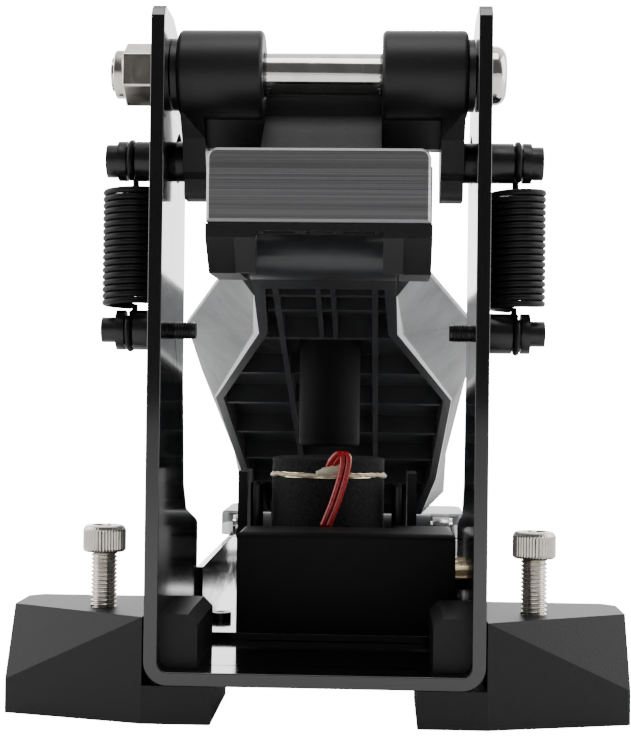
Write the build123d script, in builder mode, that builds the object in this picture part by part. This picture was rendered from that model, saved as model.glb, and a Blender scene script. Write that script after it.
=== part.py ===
"""Bass drum trigger pedal: steel frame, rocker, toe link, footboard, sensor.

All sizes in millimetres.  X runs across the pedal, Y from toe (-) to heel (+),
Z up, with the floor at Z = 0.
"""
import math
import os
from build123d import *

os.makedirs("parts", exist_ok=True)

# ---- driving dimensions ---------------------------------------------------
DEPTH = 396.0            # toe-link face to rear of the heel plate
FACE_LEAD = 8.0          # toe-link face ahead of the frame's front edge
FRONT = -DEPTH / 2 + FACE_LEAD
HEEL_END = DEPTH / 2
OUTER_HALF = 92.0        # half the overall width, at the front feet
TOP = 208.0              # top of the frame walls

WALL_OUT = 49.25         # outer face of the frame walls
SHEET = 4.0              # frame sheet
WALL_IN = WALL_OUT - SHEET
FLOOR_Z = 11.0           # underside of the frame floor
FLOOR_TOP = FLOOR_Z + SHEET
BEND_R = 3.0             # inside bend radius
CHANNEL_LEN = 98.0

PLATE_T = 2.5            # base plate sheet
PLATE_TOP = FLOOR_TOP + PLATE_T
RUN = 0.05               # running fit on shafts, radial
GAP = 0.6                # clearance between moving bodies

AXLE_Y = FRONT + 20.0
AXLE_Z = 191.0
AXLE_R = 5.0
SLEEVE_WALL = 1.45
SLEEVE_R = AXLE_R + RUN + SLEEVE_WALL
BARREL_R = 13.25
BARREL_IN = 17.6
END_GAP = 2.15           # barrel end to frame wall
BARREL_OUT = WALL_IN - END_GAP
BUSH_WALL = 1.95
BUSH_R = SLEEVE_R + RUN + BUSH_WALL
BUSH_LEN = 20.1

PIN_Y = FRONT + 33.0     # spring pins
PIN_TOP_Z = 166.7
PIN_LOW_Z = 114.5
PIN_R = 6.15
GROOVE_R = 4.5
SPRING_X = WALL_OUT + 10.05
SPRING_R = 9.0
WIRE = 2.0
ROCK_DEG = 9.0           # rocker travel allowed for by the wall slots

LINK_Y = FRONT + 1.0     # link pin, toe link to rocker
LINK_Z = 158.0
LINK_PIN_R = 2.5
LINK_PLAY = 0.5
TOE_Y = FRONT + 35.5     # toe pin, toe link to footboard
TOE_Z = 139.0
TOE_PIN_R = 4.0
BLOCK_Z0 = 144.0
BLOCK_Z1 = 165.0
BLOCK_Y0 = -DEPTH / 2
BLOCK_Y1 = FRONT + 8.0
POCKET_HALF = BARREL_IN + GAP
LEG_T = 9.2

SLOPE = math.degrees(math.atan(0.35))
RIM_Y = FRONT + 30.0     # a point on the footboard's lower rim
RIM_Z = 135.0
NECK_HALF = 22.5
LEG_IN = NECK_HALF + 0.8
LEG_OUT = LEG_IN + LEG_T
BLOCK_HALF = LEG_OUT - 0.7
WEB_W = 9.5              # heights above the rim plane
WEB_T = 2.0
SKIN_T = 2.5
SKIN_W = WEB_W + WEB_T
BOARD_W = SKIN_W + SKIN_T
HEEL_Y = FRONT + 322.0   # heel hinge
HEEL_Z = 30.0
HEEL_PIN_R = 3.0
BARREL_HALF = 43.0
KNUCKLE_R = HEEL_PIN_R + 3.5
STRIKER_Y = FRONT + 110.0
STRIKER_R = 10.75
STRIKER_Z = 77.0

FOOT_TOP = 30.7
FOOT_DEPTH = 47.0
ANCHOR_X = WALL_OUT + 15.25
ANCHOR_Y = FRONT + 21.5
ANCHOR_R = 4.0
HEAD_R = ANCHOR_R + 2.5
HEAD_Z = 47.3

BOX_Y0 = FRONT + 60.0    # sensor housing
BOX_Y1 = FRONT + 84.4
WING_Y1 = FRONT + 94.0
BOX_X0 = -28.0
BOX_X1 = WALL_IN - 2.25
JACK_DEEP = 15.0
BOX_TOP = 50.3
BOX_WALL = 2.5
JACK_Z = 36.0
JACK_YS = (FRONT + 70.0, FRONT + 85.0)
JACK_BORE = 3.25
JACK_R = JACK_BORE + 1.45

PAD_Y = FRONT + 105.0
PAD_R = 20.0
TRAY_RIM = 1.4
PAD_Z = 46.0
DISC_Z = 66.5
DISC_T = 0.6
TAPE_T = 0.8
PAD_TOP = 73.0
WING_X0 = PAD_R + TRAY_RIM + GAP


# ---- helpers --------------------------------------------------------------
def block(x0, x1, y0, y1, z0, z1, mode=Mode.ADD):
    """A box between two corners."""
    with Locations(((x0 + x1) / 2, (y0 + y1) / 2, (z0 + z1) / 2)):
        Box(x1 - x0, y1 - y0, z1 - z0, mode=mode)


def side(points, x0, x1, mode=Mode.ADD):
    """A (Y, Z) outline run across from x0 to x1."""
    with BuildSketch(Plane.YZ.offset(x0)) as outline:
        with BuildLine():
            Polyline(*points, close=True)
        make_face()
    extrude(outline.sketch, amount=x1 - x0, mode=mode)


def plan(points, z0, z1, round_off=0.0, mode=Mode.ADD):
    """An (X, Y) outline run up from z0 to z1."""
    with BuildSketch(Plane.XY.offset(z0)) as outline:
        with BuildLine():
            Polyline(*points, close=True)
        make_face()
        if round_off:
            fillet(outline.vertices(), round_off)
    extrude(outline.sketch, amount=z1 - z0, mode=mode)


def rod_x(y, z, r, x0, x1, mode=Mode.ADD):
    """A cylinder along X."""
    with BuildSketch(Plane.YZ.offset(x0)) as ring:
        with Locations((y, z)):
            Circle(r)
    extrude(ring.sketch, amount=x1 - x0, mode=mode)


def rod_z(x, y, r, z0, z1, mode=Mode.ADD):
    """A cylinder along Z."""
    with BuildSketch(Plane.XY.offset(z0)) as ring:
        with Locations((x, y)):
            Circle(r)
    extrude(ring.sketch, amount=z1 - z0, mode=mode)


def pair(x0, x1, sign):
    """The span x0..x1 on the chosen side, in rising order."""
    return (x0, x1) if sign > 0 else (-x1, -x0)


def save(builder, name):
    """Label a finished sub-part and write it out."""
    builder.part.label = name
    export_step(builder.part, "parts/" + name + ".step")


SIDES = ((-1, "left"), (1, "right"))

# footboard frame: u back along the board, w up from the rim plane
SIN = math.sin(math.radians(SLOPE))
COS = math.cos(math.radians(SLOPE))
BOARD = Plane(origin=(0, RIM_Y, RIM_Z), x_dir=(1, 0, 0), z_dir=(0, SIN, COS))


def along(y):
    """Distance back along the board for a point on its rim plane."""
    return (y - RIM_Y) / COS


def board_yz(u, w):
    """(Y, Z) of a point given in board distances."""
    return (RIM_Y + u * COS + w * SIN, RIM_Z - u * SIN + w * COS)


def mirrored(half):
    """Close an outline of (X, distance) points about the centre line."""
    return list(half) + [(-x, d) for x, d in reversed(half)]


def on_board(points, w0, w1, mode=Mode.ADD):
    """An outline on the board, run from height w0 to w1."""
    with BuildSketch(BOARD.offset(w0)) as outline:
        with BuildLine():
            Polyline(*points, close=True)
        make_face()
    extrude(outline.sketch, amount=w1 - w0, mode=mode)


# ---- frame ----------------------------------------------------------------
CLAMP_IN = WALL_IN - 10.95
FOOT_LIP = WALL_OUT - 19.55
FOOT_GAP = 0.35
FOOT_SCREW_X = (WALL_IN + CLAMP_IN) / 2
FOOT_SCREW_YS = (FRONT + 14.0, FRONT + 38.0)
PLATE_SCREWS = ((-36.0, FRONT + 90.0), (BOX_X1 - 9.0, FRONT + 78.0))
BOX_SCREWS = ((-24.0, FRONT + 72.0), (18.0, FRONT + 64.0))


def pin_slot():
    """Start and end of the upper pin's path."""
    dy = PIN_Y - AXLE_Y
    dz = PIN_TOP_Z - AXLE_Z
    turn = math.radians(ROCK_DEG)
    y1 = AXLE_Y + dy * math.cos(turn) - dz * math.sin(turn)
    z1 = AXLE_Z + dy * math.sin(turn) + dz * math.cos(turn)
    return (PIN_Y, PIN_TOP_Z), (y1, z1)


with BuildPart() as frame_channel:
    with BuildSketch(Plane.XZ.offset(-FRONT)) as section:
        with BuildLine():
            Polyline(
                (-WALL_OUT, TOP), (-WALL_OUT, FLOOR_Z), (WALL_OUT, FLOOR_Z), (WALL_OUT, TOP),
                (WALL_IN, TOP), (WALL_IN, FLOOR_TOP), (-WALL_IN, FLOOR_TOP), (-WALL_IN, TOP),
                close=True)
        make_face()
    extrude(section.sketch, amount=-CHANNEL_LEN)
    long_edges = frame_channel.edges().filter_by(Axis.Y)
    fillet(long_edges.filter_by(lambda e: abs(e.center().Z - FLOOR_Z) < 0.1), BEND_R + SHEET)
    long_edges = frame_channel.edges().filter_by(Axis.Y)
    fillet(long_edges.filter_by(lambda e: abs(e.center().Z - FLOOR_TOP) < 0.1), BEND_R)
    side([(FRONT + 99, 50), (FRONT + 92, 52), (FRONT + 66, 57), (FRONT + 58, 66), (FRONT + 53, 100),
          (FRONT + 52, 165), (FRONT + 47, 181), (FRONT + 39, 196), (FRONT + 30, 205), (FRONT + 20, TOP),
          (FRONT + 20, TOP + 2), (FRONT + 99, TOP + 2)], -WALL_OUT - 1, WALL_OUT + 1, mode=Mode.SUBTRACT)
    side([(FRONT - 1, TOP - 5), (FRONT + 1.5, TOP - 1.5), (FRONT + 5, TOP + 1), (FRONT - 1, TOP + 1)],
         -WALL_OUT - 1, WALL_OUT + 1, mode=Mode.SUBTRACT)
    rod_x(AXLE_Y, AXLE_Z, AXLE_R + RUN, -WALL_OUT - 1, WALL_OUT + 1, mode=Mode.SUBTRACT)
    rod_x(PIN_Y, PIN_LOW_Z, 2.5 + RUN, -WALL_OUT - 1, WALL_OUT + 1, mode=Mode.SUBTRACT)
    start, end = pin_slot()
    with BuildSketch(Plane.YZ.offset(-WALL_OUT - 1)) as slot:
        with Locations(((start[0] + end[0]) / 2, (start[1] + end[1]) / 2)):
            SlotCenterToCenter(
                math.dist(start, end), 2 * (PIN_R + GAP),
                rotation=math.degrees(math.atan2(end[1] - start[1], end[0] - start[0])))
    extrude(slot.sketch, amount=2 * WALL_OUT + 2, mode=Mode.SUBTRACT)
    for y in JACK_YS:
        rod_x(y, JACK_Z, JACK_R + RUN, WALL_IN - 1, WALL_OUT + 1, mode=Mode.SUBTRACT)
    for sign in (-1, 1):
        for y in FOOT_SCREW_YS:
            rod_z(sign * FOOT_SCREW_X, y, 2.5 + RUN, FLOOR_Z - 1, FLOOR_TOP + 1, mode=Mode.SUBTRACT)
    for x, y in PLATE_SCREWS + BOX_SCREWS:
        rod_z(x, y, 2.0 + RUN, FLOOR_Z - 1, FLOOR_TOP + 1, mode=Mode.SUBTRACT)
save(frame_channel, "frame_channel")


def plate_half(y):
    """Half width of the base plate at a given Y."""
    return WALL_OUT - 3.25 + (y - FRONT - 101.0) * 14.0 / (HEEL_END - FRONT - 101.0)


REAR_FEET = [(sx * 46.0, FRONT + 365.0) for sx in (-1, 1)] + [(sx * 40.0, FRONT + 235.0) for sx in (-1, 1)]
HEEL_SCREWS = [(sx * 30.0, y) for sx in (-1, 1) for y in (FRONT + 342.0, FRONT + 378.0)]
HOLDER_SCREWS = [(sx * (PAD_R + 5.0), FRONT + 122.0) for sx in (-1, 1)]

with BuildPart() as base_plate:
    nose = FRONT + 101.0
    outline = [(plate_half(nose), nose), (plate_half(HEEL_END), HEEL_END)]
    plan(mirrored(outline), FLOOR_TOP, 34.0)
    inner = [(plate_half(nose) - PLATE_T, nose - 1), (plate_half(HEEL_END) - PLATE_T, HEEL_END + 1)]
    plan(mirrored(inner), PLATE_TOP, 36.0, mode=Mode.SUBTRACT)
    side([(nose - 1, 34), (FRONT + 330, 23.5), (HEEL_END + 1, 23.5), (HEEL_END + 1, 36), (nose - 1, 36)],
         -70, 70, mode=Mode.SUBTRACT)
    block(-WALL_IN + 4, WALL_IN - 4, BOX_Y0, nose, FLOOR_TOP, PLATE_TOP)
    for x, y in PLATE_SCREWS + BOX_SCREWS:
        rod_z(x, y, 2.0 + RUN, FLOOR_TOP - 1, PLATE_TOP + 1, mode=Mode.SUBTRACT)
    for x, y in HEEL_SCREWS + HOLDER_SCREWS:
        rod_z(x, y, 2.0 + RUN, FLOOR_TOP - 1, PLATE_TOP + 1, mode=Mode.SUBTRACT)
    for x, y in REAR_FEET:
        rod_z(x, y, 3.0 + RUN, FLOOR_TOP - 1, PLATE_TOP + 1, mode=Mode.SUBTRACT)
save(base_plate, "base_plate")

with BuildPart() as base_screws:
    for x, y in PLATE_SCREWS:
        rod_z(x, y, 2.0, FLOOR_Z - 1, PLATE_TOP)
        rod_z(x, y, 3.6, PLATE_TOP, PLATE_TOP + 2.4)
        rod_z(x, y, 1.4, PLATE_TOP + 1.2, PLATE_TOP + 3, mode=Mode.SUBTRACT)
save(base_screws, "base_screws")

with BuildPart() as heel_screws:
    for x, y in HEEL_SCREWS + HOLDER_SCREWS:
        rod_z(x, y, 2.0, FLOOR_TOP, PLATE_TOP + 8.0)
        rod_z(x, y, 3.8, FLOOR_TOP - 2.4, FLOOR_TOP)
        rod_z(x, y, 1.5, FLOOR_TOP - 3, FLOOR_TOP - 1.2, mode=Mode.SUBTRACT)
save(heel_screws, "heel_screws")

with BuildPart() as rear_feet:
    for x, y in REAR_FEET:
        rod_z(x, y, 11.0, 0, FLOOR_TOP - 3)
        rod_z(x, y, 9.0, FLOOR_TOP - 3, FLOOR_TOP)
        rod_z(x, y, 3.0, FLOOR_TOP, PLATE_TOP)
save(rear_feet, "rear_feet")


# ---- front feet -----------------------------------------------------------
def foot(sign):
    """Moulded outrigger foot with a swept, faceted front."""
    with BuildPart() as moulding:
        foot_in = WALL_OUT + FOOT_GAP
        plan([(foot_in, FRONT), (OUTER_HALF, FRONT + 12), (OUTER_HALF, FRONT + FOOT_DEPTH - 4),
              (OUTER_HALF - 4, FRONT + FOOT_DEPTH), (foot_in, FRONT + FOOT_DEPTH)], 0, FOOT_TOP)
        block(FOOT_LIP, foot_in + 0.4, FRONT, FRONT + FOOT_DEPTH, 0, FLOOR_Z)
        corner = Vector(foot_in, FRONT, FOOT_TOP)
        low = Vector(OUTER_HALF, FRONT + 12, 10.0)
        back = Vector(OUTER_HALF, FRONT + 24, FOOT_TOP)
        facet = Plane(origin=corner, x_dir=low - corner, z_dir=(low - corner).cross(back - corner))
        if facet.z_dir.Z < 0:
            facet = Plane(origin=corner, x_dir=low - corner, z_dir=facet.z_dir * -1)
        with Locations(facet):
            Box(160, 160, 30, align=(Align.CENTER, Align.CENTER, Align.MIN), mode=Mode.SUBTRACT)
        rod_z(ANCHOR_X, ANCHOR_Y, ANCHOR_R + RUN, -1, FOOT_TOP + 1, mode=Mode.SUBTRACT)
        for y in FOOT_SCREW_YS:
            rod_z(FOOT_SCREW_X, y, 2.5 + RUN, -1, FLOOR_Z + 1, mode=Mode.SUBTRACT)
            rod_z(FOOT_SCREW_X, y, 4.8, -1, 5.0, mode=Mode.SUBTRACT)
        if sign < 0:
            mirror(about=Plane.YZ, mode=Mode.REPLACE)
    return moulding


def foot_block(sign):
    """Clamp block inside the frame, over the foot."""
    with BuildPart() as clamp:
        block(CLAMP_IN, WALL_IN, FRONT + 6, FRONT + FOOT_DEPTH + 0.5, FLOOR_TOP, FOOT_TOP + 0.1)
        top_edge = clamp.edges().filter_by(Axis.Y).sort_by(lambda e: e.center().Z - e.center().X)[-1]
        chamfer(top_edge, 2.9)
        low_edge = clamp.edges().filter_by(Axis.Y).sort_by(lambda e: e.center().X - e.center().Z)[-1]
        fillet(low_edge, BEND_R + 0.3)
        for y in FOOT_SCREW_YS:
            rod_z(FOOT_SCREW_X, y, 2.5 + RUN, FLOOR_TOP - 1, FLOOR_TOP + 11, mode=Mode.SUBTRACT)
        if sign < 0:
            mirror(about=Plane.YZ, mode=Mode.REPLACE)
    return clamp


for sign, name in SIDES:
    save(foot(sign), "foot_" + name)
    save(foot_block(sign), "foot_block_" + name)

with BuildPart() as foot_screws:
    for sign in (-1, 1):
        for y in FOOT_SCREW_YS:
            rod_z(sign * FOOT_SCREW_X, y, 2.5, 5.0, FLOOR_TOP + 10)
            rod_z(sign * FOOT_SCREW_X, y, 4.4, 1.5, 5.0)
            rod_z(sign * FOOT_SCREW_X, y, 2.0, 1.0, 3.5, mode=Mode.SUBTRACT)
save(foot_screws, "foot_screws")


def anchor_bolt(sign):
    """Knurled socket-head bolt that bites the floor."""
    x = sign * ANCHOR_X
    with BuildPart() as bolt:
        rod_z(x, ANCHOR_Y, ANCHOR_R, 10.0, HEAD_Z)
        with BuildSketch(Plane.XY.offset(10.0)) as root:
            with Locations((x, ANCHOR_Y)):
                Circle(ANCHOR_R)
        extrude(root.sketch, amount=-2.5, taper=42)
        rod_z(x, ANCHOR_Y, HEAD_R, HEAD_Z, HEAD_Z + 7.9)
        rims = bolt.edges().filter_by(GeomType.CIRCLE).filter_by(lambda e: abs(e.radius - HEAD_R) < 0.1)
        fillet(rims, 0.8)
        with BuildSketch(Plane.XY.offset(HEAD_Z + 3.7)) as socket:
            with Locations((x, ANCHOR_Y)):
                RegularPolygon(0.75 * ANCHOR_R, 6, major_radius=False)
        extrude(socket.sketch, amount=6, mode=Mode.SUBTRACT)
    return bolt


for sign, name in SIDES:
    save(anchor_bolt(sign), "anchor_bolt_" + name)

# ---- axle -----------------------------------------------------------------
AXLE_TAIL = 14.15
BUTTON_T = 5.25
WASHER_T = 1.5
NUT_T = 8.65
COLLAR_T = 3.0

with BuildPart() as axle_sleeve:
    rod_x(AXLE_Y, AXLE_Z, SLEEVE_R, -WALL_IN, WALL_IN)
    rod_x(AXLE_Y, AXLE_Z, AXLE_R + RUN, -WALL_IN - 1, WALL_IN + 1, mode=Mode.SUBTRACT)
save(axle_sleeve, "axle_sleeve")

with BuildPart() as axle_bolt:
    rod_x(AXLE_Y, AXLE_Z, AXLE_R, -WALL_OUT - AXLE_TAIL, WALL_OUT)
    rod_x(AXLE_Y, AXLE_Z, AXLE_R + 3.75, WALL_OUT, WALL_OUT + BUTTON_T)
    dome = axle_bolt.edges().filter_by(GeomType.CIRCLE).sort_by(Axis.X)[-1]
    fillet(dome, 3.4)
    with BuildSketch(Plane.YZ.offset(WALL_OUT + 2.25)) as socket:
        with Locations((AXLE_Y, AXLE_Z)):
            RegularPolygon(0.6 * AXLE_R, 6, major_radius=False)
    extrude(socket.sketch, amount=6, mode=Mode.SUBTRACT)
save(axle_bolt, "axle_bolt")

with BuildPart() as axle_washer:
    rod_x(AXLE_Y, AXLE_Z, AXLE_R + 4.8, -WALL_OUT - WASHER_T, -WALL_OUT)
    rod_x(AXLE_Y, AXLE_Z, AXLE_R + RUN, -WALL_OUT - 3, -WALL_OUT + 1, mode=Mode.SUBTRACT)
save(axle_washer, "axle_washer")

with BuildPart() as axle_nut:
    nut_end = -WALL_OUT - WASHER_T - NUT_T
    with BuildSketch(Plane.YZ.offset(nut_end)) as hexagon:
        with Locations((AXLE_Y, AXLE_Z)):
            RegularPolygon(AXLE_R + 3.3, 6, rotation=30, major_radius=False)
    extrude(hexagon.sketch, amount=NUT_T)
    rod_x(AXLE_Y, AXLE_Z, AXLE_R + 2.2, nut_end - COLLAR_T, nut_end)
    rod_x(AXLE_Y, AXLE_Z, AXLE_R + RUN, nut_end - COLLAR_T - 1, -WALL_OUT, mode=Mode.SUBTRACT)
save(axle_nut, "axle_nut")


# ---- spring pins and springs ----------------------------------------------
HOOK_IN = SPRING_X - 1.4
HOOK_OUT = SPRING_X + 1.4
FLANGE = HOOK_OUT + 2.7
CHEEK = (BARREL_OUT - 7.6, BARREL_OUT - 0.6)


def lower_pin(sign):
    """Frame pin: threaded shank, collar, hook groove, flange and button."""
    with BuildPart() as pin:
        for r, a, b in ((2.5, WALL_IN - 6.25, WALL_OUT), (PIN_R, WALL_OUT, HOOK_IN),
                        (GROOVE_R, HOOK_IN, HOOK_OUT), (PIN_R, HOOK_OUT, FLANGE),
                        (3.9, FLANGE, FLANGE + 4.6)):
            x0, x1 = pair(a, b, sign)
            rod_x(PIN_Y, PIN_LOW_Z, r, x0, x1)
    return pin


def upper_pin(sign):
    """Rocker pin reaching out through the wall slot."""
    with BuildPart() as pin:
        for r, a, b in ((3.0, CHEEK[0] + 1, CHEEK[1]), (PIN_R, CHEEK[1], HOOK_IN),
                        (GROOVE_R, HOOK_IN, HOOK_OUT), (PIN_R, HOOK_OUT, FLANGE),
                        (5.1, FLANGE, FLANGE + 3.6)):
            x0, x1 = pair(a, b, sign)
            rod_x(PIN_Y, PIN_TOP_Z, r, x0, x1)
    return pin


def spring(sign):
    """Extension spring: hollow body with a hook ring at each end."""
    x = sign * SPRING_X
    ring_in = GROOVE_R + 0.3
    body_low = PIN_LOW_Z + PIN_R + 0.75
    body_high = PIN_TOP_Z - PIN_R - 1.15
    with BuildPart() as coil:
        rod_z(x, PIN_Y, SPRING_R, body_low, body_high)
        rod_z(x, PIN_Y, SPRING_R - WIRE, body_low - 1, body_high + 1, mode=Mode.SUBTRACT)
        y0 = PIN_Y - SPRING_R + 0.5
        y1 = PIN_Y + SPRING_R - 0.5
        block(x - WIRE / 2, x + WIRE / 2, y0, y1, body_high - 2, body_high + 1.5)
        block(x - WIRE / 2, x + WIRE / 2, y0, y1, body_low - 1.1, body_low + 2)
        for z in (PIN_LOW_Z, PIN_TOP_Z):
            rod_x(PIN_Y, z, ring_in + WIRE, x - WIRE / 2, x + WIRE / 2)
        for z in (PIN_LOW_Z, PIN_TOP_Z):
            rod_x(PIN_Y, z, ring_in, x - WIRE, x + WIRE, mode=Mode.SUBTRACT)
    return coil


for sign, name in SIDES:
    save(lower_pin(sign), "lower_pin_" + name)
    save(upper_pin(sign), "upper_pin_" + name)
    save(spring(sign), "spring_" + name)

# ---- rocker ---------------------------------------------------------------
CHEEK_LOW = 160.5

with BuildPart() as rocker:
    for sign in (-1, 1):
        x0, x1 = pair(BARREL_IN, BARREL_OUT, sign)
        rod_x(AXLE_Y, AXLE_Z, BARREL_R, x0, x1)
    rims = rocker.edges().filter_by(GeomType.CIRCLE)
    fillet(rims, 1.6)
    for sign in (-1, 1):
        x0, x1 = pair(*CHEEK, sign)
        side([(AXLE_Y - 11.5, 186), (FRONT + 21, 172), (FRONT + 25, CHEEK_LOW + 2), (FRONT + 27, CHEEK_LOW),
              (FRONT + 39, CHEEK_LOW), (FRONT + 41, CHEEK_LOW + 3), (FRONT + 41, 174), (AXLE_Y + 12, 192),
              (AXLE_Y, 193)], x0, x1)
        x0, x1 = pair(BARREL_IN, CHEEK[0] + 0.5, sign)
        side([(AXLE_Y + 2, 180), (FRONT + 27, 170), (FRONT + 33, 170), (AXLE_Y + 12.5, 188)], x0, x1)
    side([(FRONT + 28, 186), (FRONT + 34, 185), (FRONT + 34, 172), (FRONT + 28, 167), (FRONT + 16, 160),
          (FRONT + 5, 153.4), (FRONT + 1, 152.6), (FRONT - 3.2, 154.5), (FRONT - 4, 158), (FRONT - 2.6, 162),
          (FRONT + 5, 167), (FRONT + 18, 175), (FRONT + 27, 180)], -BARREL_IN, BARREL_IN)
    rod_x(LINK_Y, LINK_Z, LINK_PIN_R + LINK_PLAY, -BARREL_IN - 1, BARREL_IN + 1, mode=Mode.SUBTRACT)
    rod_x(AXLE_Y, AXLE_Z, SLEEVE_R + 0.5, -BARREL_OUT - 1, BARREL_OUT + 1, mode=Mode.SUBTRACT)
    for sign in (-1, 1):
        x0, x1 = pair(BARREL_OUT - BUSH_LEN, BARREL_OUT + 1, sign)
        rod_x(AXLE_Y, AXLE_Z, BUSH_R, x0, x1, mode=Mode.SUBTRACT)
        x0, x1 = pair(CHEEK[0] + 1, BARREL_OUT, sign)
        rod_x(PIN_Y, PIN_TOP_Z, 3.0 + RUN, x0, x1, mode=Mode.SUBTRACT)
save(rocker, "rocker")


def bush(sign):
    """Flanged bearing bush."""
    with BuildPart() as bearing:
        x0, x1 = pair(BARREL_OUT - BUSH_LEN, BARREL_OUT, sign)
        rod_x(AXLE_Y, AXLE_Z, BUSH_R, x0, x1)
        x0, x1 = pair(BARREL_OUT, WALL_IN - 0.25, sign)
        rod_x(AXLE_Y, AXLE_Z, BUSH_R + 2.25, x0, x1)
        x0, x1 = pair(20.0, WALL_IN + 1, sign)
        rod_x(AXLE_Y, AXLE_Z, SLEEVE_R + RUN, x0, x1, mode=Mode.SUBTRACT)
    return bearing


for sign, name in SIDES:
    save(bush(sign), "bush_" + name)

with BuildPart() as rocker_bumpers:
    for sign in (-1, 1):
        x0, x1 = pair(*CHEEK, sign)
        block(x0, x1, FRONT + 27, FRONT + 39, CHEEK_LOW - 5.8, CHEEK_LOW)
    edges = rocker_bumpers.edges().filter_by(Axis.X).group_by(Axis.Z)[0]
    fillet(edges, 2.4)
save(rocker_bumpers, "rocker_bumpers")

# ---- toe link -------------------------------------------------------------
LEG_LOW = TOE_Z - TOE_PIN_R - 4.5

with BuildPart() as toe_link:
    block(-BLOCK_HALF, BLOCK_HALF, BLOCK_Y0, BLOCK_Y1, BLOCK_Z0, BLOCK_Z1)
    corners = toe_link.edges().filter_by(Axis.Y).group_by(Axis.Z)[-1]
    fillet(corners, 3.0)
    face_edges = toe_link.faces().sort_by(Axis.Y)[0].edges()
    chamfer(face_edges, 0.8)
    block(-BLOCK_HALF, BLOCK_HALF, FRONT - 3, BLOCK_Y1, BLOCK_Z0 - 2, BLOCK_Z0)
    for sign in (-1, 1):
        x0, x1 = pair(LEG_IN, LEG_OUT, sign)
        side([(FRONT - 3, BLOCK_Z0), (FRONT - 3, 140), (FRONT + 8, LEG_LOW), (TOE_Y, LEG_LOW),
              (TOE_Y + 6, TOE_Z - 6), (TOE_Y + 8.5, TOE_Z), (TOE_Y + 6, TOE_Z + 6), (TOE_Y, TOE_Z + 8.5),
              (BLOCK_Y1, BLOCK_Z1 - 5), (BLOCK_Y1 - 4, BLOCK_Z1 - 3.5), (BLOCK_Y1 - 4, BLOCK_Z0)], x0, x1)
        x0, x1 = pair(LEG_IN - 4.8, LEG_IN + 1, sign)
        side([(FRONT - 3, BLOCK_Z0), (FRONT - 3, 140), (FRONT + 5.5, LEG_LOW), (FRONT + 8, LEG_LOW),
              (FRONT + 8, BLOCK_Z0)], x0, x1)
    block(-POCKET_HALF, POCKET_HALF, FRONT - 5.0, BLOCK_Y1 + 1, BLOCK_Z0 + 4.0, BLOCK_Z1 + 1,
          mode=Mode.SUBTRACT)
    for sign in (-1, 1):
        x0, x1 = pair(7.0, 16.0, sign)
        block(x0, x1, FRONT - 1, FRONT + 6, BLOCK_Z0 - 3, BLOCK_Z0, mode=Mode.SUBTRACT)
        x0, x1 = pair(LEG_OUT - 5.5, LEG_OUT + 1, sign)
        rod_x(TOE_Y, TOE_Z, TOE_PIN_R + 1.5, x0, x1, mode=Mode.SUBTRACT)
    rod_z(0, FRONT + 2.5, 4.25, BLOCK_Z0 - 3, BLOCK_Z0 + 5, mode=Mode.SUBTRACT)
    rod_x(LINK_Y, LINK_Z, LINK_PIN_R + RUN, -26, 26, mode=Mode.SUBTRACT)
    rod_x(TOE_Y, TOE_Z, TOE_PIN_R + RUN, -LEG_OUT - 1, LEG_OUT + 1, mode=Mode.SUBTRACT)
save(toe_link, "toe_link")

with BuildPart() as link_pin:
    rod_x(LINK_Y, LINK_Z, LINK_PIN_R, -25.8, 25.8)
save(link_pin, "link_pin")

with BuildPart() as toe_pin:
    rod_x(TOE_Y, TOE_Z, TOE_PIN_R, 5.5 - LEG_OUT, LEG_OUT - 5.5)
    for sign in (-1, 1):
        x0, x1 = pair(LEG_OUT - 5.5, LEG_OUT, sign)
        rod_x(TOE_Y, TOE_Z, TOE_PIN_R + 1.4, x0, x1)
        x0, x1 = pair(LEG_OUT - 2.5, LEG_OUT + 1, sign)
        rod_x(TOE_Y, TOE_Z, 2.5, x0, x1, mode=Mode.SUBTRACT)
save(toe_pin, "toe_pin")

# ---- footboard ------------------------------------------------------------
RIM_OUTLINE = [(NECK_HALF, along(FRONT + 55)), (NECK_HALF + 1, along(FRONT + 85)),
               (45.0, along(FRONT + 150)), (43.0, along(FRONT + 250)), (38.0, along(FRONT + 309))]
TOP_OUTLINE = [(31.0, along(FRONT + 55)), (51.5, along(FRONT + 106)),
               (51.0, along(FRONT + 150)), (47.5, along(FRONT + 250)), (49.0, along(FRONT + 309))]
NECK_END = along(TOE_Y) - 0.5


def rim_half(inset, back=0.0):
    """Underframe outline from the neck to the heel, drawn in by an inset."""
    body = [(x - inset, u) for x, u in RIM_OUTLINE[1:]]
    body[-1] = (body[-1][0], body[-1][1] - back)
    return body


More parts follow.
